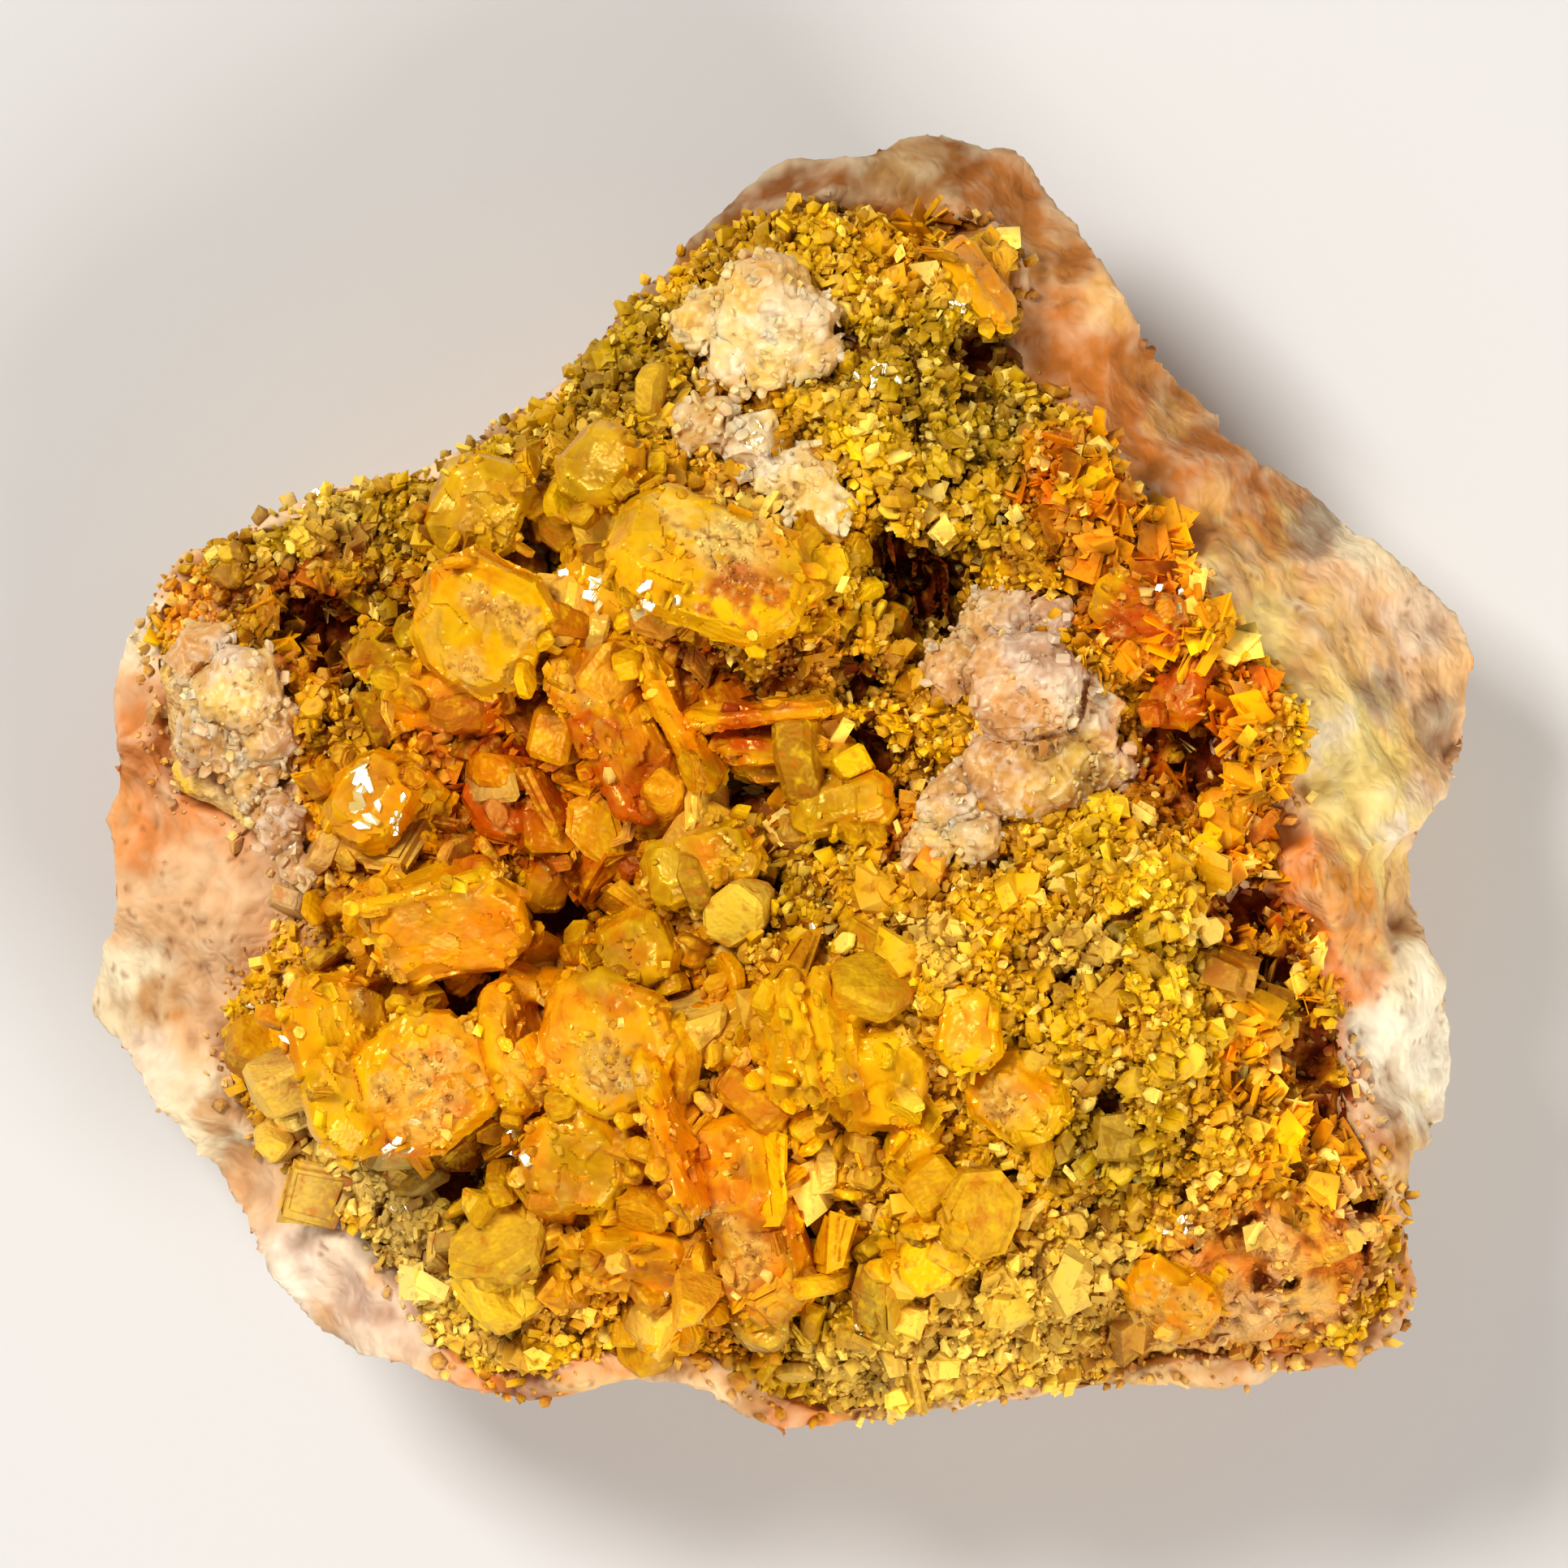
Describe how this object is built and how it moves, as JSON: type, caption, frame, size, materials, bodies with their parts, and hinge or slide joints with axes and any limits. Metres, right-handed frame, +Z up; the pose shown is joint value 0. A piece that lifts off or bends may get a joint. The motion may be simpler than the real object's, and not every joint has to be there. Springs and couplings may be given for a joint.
{
  "type": "wulfenite crystal specimen on matrix",
  "caption": "Hand specimen of tabular amber wulfenite crystals with a yellow druse and pale calcite, in the hollow of a buff stone matrix.",
  "frame": {"origin": "on the surface the stone lies on, under the middle of its bounding box", "axes": "+Z up, out of the crystal-lined face; +X along the specimen's longest extent, to the right of someone who looks down on it; +Y away from them, toward the stone's peak"},
  "size_m": [0.045, 0.042, 0.021],
  "materials": {
    "stone": "buff to salmon stone with orange iron stains, rough",
    "crust": "fine ochre and yellow druse",
    "wulfenite": "translucent amber crystal, resinous lustre",
    "calcite": "translucent pale crystal, sugary lustre"
  },
  "bodies": {
    "root": {"calcite_block": "calcite", "calcite_crown": "calcite", "calcite_discs": "calcite", "calcite_heart": "calcite", "druse_crust": "crust", "matrix_rock": "stone", "wulfenite_amber_bar": "wulfenite", "wulfenite_broad_plates": "wulfenite", "wulfenite_butter_tablet": "wulfenite", "wulfenite_cavity_discs": "wulfenite", "wulfenite_corner_tablet": "wulfenite", "wulfenite_crest_blade": "wulfenite", "wulfenite_crossed_blades": "wulfenite", "wulfenite_curled_tablets": "wulfenite", "wulfenite_dark_wedge": "wulfenite", "wulfenite_druse_tablet": "wulfenite", "wulfenite_dusty_wedge": "wulfenite", "wulfenite_frosted_pair": "wulfenite", "wulfenite_great_wedge": "wulfenite", "wulfenite_knobbed_crystal": "wulfenite", "wulfenite_left_lens": "wulfenite", "wulfenite_long_plate": "wulfenite", "wulfenite_lower_wedge": "wulfenite", "wulfenite_olive_block": "wulfenite", "wulfenite_plate_fan": "wulfenite", "wulfenite_pocket_tablet": "wulfenite", "wulfenite_ridge_crystal": "wulfenite", "wulfenite_round_tablet": "wulfenite", "wulfenite_russet_lens": "wulfenite", "wulfenite_russet_plate": "wulfenite", "wulfenite_side_tablet": "wulfenite", "wulfenite_winged_plates": "wulfenite", "wulfenite_yellow_tablet": "wulfenite"}
  },
  "joints": []
}
